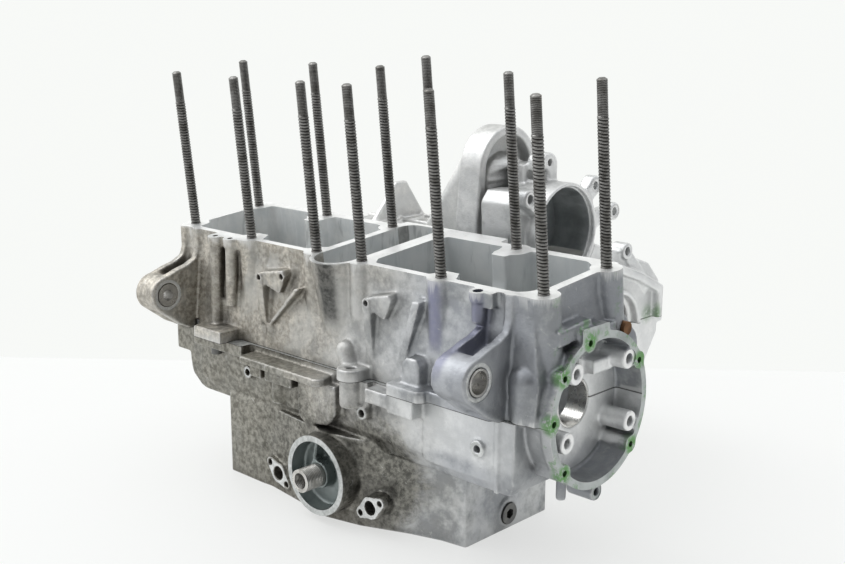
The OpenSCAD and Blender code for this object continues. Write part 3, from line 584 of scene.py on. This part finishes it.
def upper_tools():
    """Drills and milled spots of the upper half, apart from those of the end cover."""
    drills = [(mm(231, 0, CRANK_HEIGHT), (-1, 0, 0), CRANK_BORE / 1000, 0.46)]
    spots = []
    for x, y in STUDS:
        drills.append((on_deck(x, y, 0), -UP, 0.0047, 0.03, 24))
    for x, y, r in ((-153.5, -59, 2.5), (-133, -58, 2.5), (163.5, -57, 4)):
        drills.append((on_deck(x, y, 0), -UP, r / 1000, 0.02, 20))
    for x, out in ((-218, -1), (-190, 1), (161, -1), (193, 1)):
        face = on_deck(x, *FRONT_MOUNT)
        drills.append((face + Vector((out * 0.004, 0, 0)), (-out, 0, 0), 0.0105, 0.024, 32))
        spots.append((face, (out, 0, 0), 0.0145))
    front = DECK.to_3x3() @ Vector((0, 1, 0))
    for x, z in ((-88, -28), (-60, -24), (48.5, -28)):
        drills.append((on_deck(x, -67, z), front, 0.0025, 0.016, 16))
    # alternator seat with its screw ears
    seat_y, seat_z = ALTERNATOR
    drills.append((mm(100, seat_y, seat_z), (-1, 0, 0), 0.0395, 0.044, 72))
    drills.append((mm(100, seat_y, seat_z), (-1, 0, 0), 0.0411, 0.005, 72))
    spots.append((mm(100, seat_y, seat_z), (1, 0, 0), 0.0455))
    for y, z in ((-53.5, 35.5), (41.5, 38), (73, 10.5)):
        drills.append((mm(100, seat_y + y, seat_z + z), (-1, 0, 0), 0.0036, 0.014, 20))
        spots.append((mm(100, seat_y + y, seat_z + z), (1, 0, 0), 0.0062))
    drills.append((mm(112, 219, 204), (-1, 0, 0), 0.004, 0.02, 20))
    drills.append((mm(79, 129, 294), (-1, 0, 0), 0.0032, 0.02, 20))
    drills.append((mm(37, -78, 140.5), (0, 0, -1), 0.004, 0.02, 20))
    return drills, spots


def end_cover_tools(upper):
    """Holes and bosses in the half of the round end cover joint."""
    def ring_place(x, angle, radius):
        return mm(x, radius * math.cos(math.radians(angle)), CRANK_HEIGHT + radius * math.sin(math.radians(angle)))

    def in_half(angle):
        return (math.sin(math.radians(angle)) > 0) == upper

    taps = [a for a in COVER_TAPS if in_half(a)]
    bosses = [(a, r) for a, r in ((131, 46), (41, 49.6), (-25, 46.8), (203, 42.8)) if in_half(a)]
    drills = [(ring_place(230, a, COVER_TAP_RING), (-1, 0, 0), 0.0026, 0.014, 16) for a in taps]
    drills += [(ring_place(229.5, a, r), (-1, 0, 0), 0.004, 0.016, 20) for a, r in bosses]
    spots = [(ring_place(229.5, a, r), (1, 0, 0), 0.0075) for a, r in bosses]
    return drills, spots


def lower_tools():
    """Drills and milled spots of the lower half, apart from those of the end cover."""
    drills = [(mm(231, 0, CRANK_HEIGHT), (-1, 0, 0), CRANK_BORE / 1000, 0.46),
              (mm(133, 10, 14), (-1, 0, 0), 0.009, 0.012, 28)]
    spots = [(mm(171, -75.5, 104), (0, -1, 0), 0.0058), (mm(-104, -76, 105), (0, -1, 0), 0.005),
             (mm(50, -80, 104), (0, -1, 0), 0.005), (mm(221, 12, 58), (1, 0, 0), 0.006)]
    for c, v, r in spots:
        drills.append((c, -Vector(v), 0.003, 0.014, 18))
    # cooler ports, each with a screw hole on either side
    for (x, y, z), turn in (((-63, -76.5, 19), 36), ((60, -80.5, 24), -32)):
        spots.append((mm(x, y, z), (0, -1, 0), 0.0185))
        drills.append((mm(x, y, z), (0, 1, 0), 0.006, 0.03, 28))
        for s in (-13.5, 13.5):
            c, d = math.cos(math.radians(turn)), math.sin(math.radians(turn))
            drills.append((mm(x + s * c, y, z - s * d), (0, 1, 0), 0.0026, 0.01, 16))
    return drills, spots


def stud_rows(height):
    """Heights on a stud, each with its radius and the pitch and depth of the thread there."""
    ridges_end, slim = height - THREAD_LENGTH, STUD_RADIUS - 0.0003
    start = 0.0008
    rows = [(-0.004, STUD_RADIUS, 0, 0), (start, STUD_RADIUS, 0, 0)]
    rows += [(start + k * RIDGE_PITCH / 6, STUD_RADIUS, RIDGE_PITCH, 0.0006)
             for k in range(1, int((ridges_end - start) / RIDGE_PITCH * 6))]
    rows += [(ridges_end + k * THREAD_PITCH / 5, slim if k else STUD_RADIUS, THREAD_PITCH, 0.0003)
             for k in range(int((height - 0.0015 - ridges_end) / THREAD_PITCH * 5))]
    return rows + [(height - 0.0014, slim, 0, 0), (height, STUD_RADIUS - 0.0022, 0, 0)]


def rolled_studs(name, node, places, height, material, sides=14):
    """Studs with helical rolled ridges, a finer thread at the head and a turned end."""
    rows = stud_rows(height)
    right, back = Vector((1, 0, 0)), Vector((1, 0, 0)).cross(UP)
    verts, faces, groove_shade_values = [], [], []
    for x, y in places:
        foot, first = on_deck(x, y, 0), len(verts)
        for up, radius, pitch, depth in rows:
            for j in range(sides):
                angle = 2 * math.pi * j / sides
                dip = (0.5 - 0.5 * math.cos(2 * math.pi * up / pitch - angle)) ** 2 if pitch else 0
                out = right * math.cos(angle) + back * math.sin(angle)
                verts.append(foot + UP * up + out * (radius - depth * dip))
                groove_shade_values.append(dip)
        for k in range(len(rows) - 1):
            for j in range(sides):
                a, b = first + k * sides + j, first + k * sides + (j + 1) % sides
                faces.append((a, b, b + sides, a + sides))
        faces.append(tuple(first + sides * (len(rows) - 1) + j for j in range(sides)))
        faces.append(tuple(first + j for j in reversed(range(sides))))
    obj = mesh_object(name, verts, faces)
    bm = bmesh.new()
    bm.from_mesh(obj.data)
    bmesh.ops.recalc_face_normals(bm, faces=bm.faces[:])
    bm.to_mesh(obj.data)
    bm.free()
    # this attribute marks the thread grooves, where shade is painted on the studs
    obj.data.attributes.new("groove_shade", "FLOAT", "POINT").data.foreach_set("value", groove_shade_values)
    obj.data.polygons.foreach_set("use_smooth", [True] * len(obj.data.polygons))
    obj.data.set_sharp_from_angle(angle=math.radians(50))
    obj.data.materials.append(material)
    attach(obj, "root")
    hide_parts(node)
    return obj


def floor_point(px, py):
    """Where the ray through a pixel of the picture meets the table."""
    cam = bpy.context.scene.camera.matrix_world
    ray = cam.to_3x3() @ Vector(((px - PICTURE_WIDTH / 2) / FOCAL, (PICTURE_HEIGHT / 2 - py) / FOCAL, -1))
    eye = cam.translation
    return eye + ray * ((TABLE - eye.z) / ray.z)


def table_and_backdrop():
    """A table whose far edge runs across the picture, and a white wall well behind it."""
    left, right = floor_point(0, 357), floor_point(PICTURE_WIDTH, 372)
    along = (right - left).normalized()
    left, right = left - along * 4, right + along * 4
    near = Vector((along.y, -along.x, 0)) * 5
    table = mesh_object("table", [left, right, right + near, left + near], [(0, 1, 2, 3)])
    n = Nodes("table_top")
    tone = n.mix(n.noise(2.5, 3, 0.5), (0.22, 0.224, 0.22), (0.24, 0.244, 0.24))
    n.shader.inputs["Emission Color"].default_value = (0.995, 1, 0.99, 1)
    n.shader.inputs["Emission Strength"].default_value = 0.63
    table.data.materials.append(n.finish(tone, 0.6, 0.0))
    back = -near * 0.5
    low, high = Vector((0, 0, -3)), Vector((0, 0, 5))
    corners = [left + back + low, right + back + low, right + back + high, left + back + high]
    wall = mesh_object("backdrop", corners, [(0, 1, 2, 3)])
    n = Nodes("backdrop_white")
    n.shader.inputs["Emission Color"].default_value = (0.93, 0.945, 0.925, 1)
    n.shader.inputs["Emission Strength"].default_value = 1.0
    wall.data.materials.append(n.finish((0, 0, 0), 1.0, 0.0))


def lights():
    """A soft dome, bright from the upper left and dim from the right front, and one wide lamp."""
    world = bpy.data.worlds.new("world")
    bpy.context.scene.world = world
    world.use_nodes = True
    tree = world.node_tree
    coord = tree.nodes.new("ShaderNodeTexCoord")
    side = tree.nodes.new("ShaderNodeVectorMath")
    side.operation = "DOT_PRODUCT"
    side.inputs[1].default_value = Vector((-0.75, 0.25, 0.6)).normalized()
    tree.links.new(coord.outputs["Generated"], side.inputs[0])
    level = tree.nodes.new("ShaderNodeMapRange")
    level.interpolation_type = "SMOOTHSTEP"
    for key, value in (("From Min", -0.6), ("From Max", 0.8), ("To Min", 0.16), ("To Max", 1.62)):
        level.inputs[key].default_value = value
    tree.links.new(side.outputs["Value"], level.inputs["Value"])
    # the room itself is seen as plain and pale
    room = tree.nodes.new("ShaderNodeMix")
    room.inputs["B"].default_value = 0.95
    tree.links.new(tree.nodes.new("ShaderNodeLightPath").outputs["Is Camera Ray"], room.inputs["Factor"])
    tree.links.new(level.outputs[0], room.inputs["A"])
    background = tree.nodes["Background"]
    background.inputs["Color"].default_value = (0.97, 0.985, 1, 1)
    tree.links.new(room.outputs["Result"], background.inputs["Strength"])
    light = bpy.data.lights.new("key", "SUN")
    light.angle = math.radians(40)
    light.energy = 1.0
    lamp = bpy.data.objects.new("key", light)
    bpy.context.scene.collection.objects.link(lamp)
    lamp.rotation_euler = Vector((-0.9, -0.2, 1.1)).to_track_quat("Z", "Y").to_euler()


def castings():
    upper_cast = cast_material("cast_upper", False)
    lower_cast = cast_material("cast_lower", True)
    machined = machined_material("machined")
    joint = machined_material("joint_face", (0.47, 0.50, 0.49), (0.30, 0.325, 0.32))
    deck = (on_deck(0, 0, 0), UP, (-0.24, 0.24, -0.095, 0.066))
    end = ((END_FACE, 0, 0), (1, 0, 0))
    clutch = ((CLUTCH_FACE, 0, 0), (-1, 0, 0), (-0.30, -0.045, -0.2, 0.2))
    upper_planes = [deck, ((0, 0, 0), (0, 0, -1)), end, clutch]
    lower_planes = [((0, 0, 0), (0, 0, 1)), ((0, 0, TABLE), (0, 0, -1)), end, clutch,
                    ((0, FILTER_FACE, 0), (0, -1, 0))]
    drills, spots = upper_tools()
    ring_drills, ring_spots = end_cover_tools(True)
    up = cast_piece("upper_casting", "upper_case", upper_planes, drills + ring_drills, spots + ring_spots,
                    [upper_cast, machined, joint, bored_material("bored")])
    drills, spots = lower_tools()
    ring_drills, ring_spots = end_cover_tools(False)
    low = cast_piece("lower_casting", "lower_case", lower_planes, drills + ring_drills, spots + ring_spots,
                     [lower_cast, machined, joint])


def small_parts():
    """Detailed studs, and finishes for the small nodes that stay as they are."""
    stud = stud_material("stud_steel")
    rolled_studs("rolled_studs", "cylinder_studs", [at for at in STUDS if at != TALL_STUD], STUD_HEIGHT, stud)
    rolled_studs("tall_rolled_stud", "tall_stud_rear", [TALL_STUD], TALL_HEIGHT, stud)
    plated = steel_material("plated_steel", (0.55, 0.54, 0.52), (0.40, 0.39, 0.37), 0.32)
    dark = steel_material("dark_steel", (0.12, 0.12, 0.12), (0.20, 0.20, 0.19))
    rusty = steel_material("rusty_steel", (0.22, 0.11, 0.05), (0.12, 0.07, 0.04), 0.6)
    bearing = steel_material("bearing_metal", (0.75, 0.74, 0.72), (0.6, 0.59, 0.56), 0.25)
    finishes = {"filter_union": threaded_material("union_steel"), "ear_bush_left": plated,
                "ear_sleeve_right": plated, "gallery_plug": dark, "gallery_pin": rusty,
                "joint_dowels": dark, "main_bolts": dark, "joint_bolts": dark}
    replaced = ("upper_case", "lower_case", "cylinder_studs", "tall_stud_rear")
    for node, obj in NODES.items():
        if node not in replaced:
            obj.data.materials.clear()
            obj.data.materials.append(finishes.get(node, bearing))


def main():
    make_camera()
    castings()
    small_parts()
    table_and_backdrop()
    lights()
    bpy.context.scene.view_settings.view_transform = "Standard"


main()
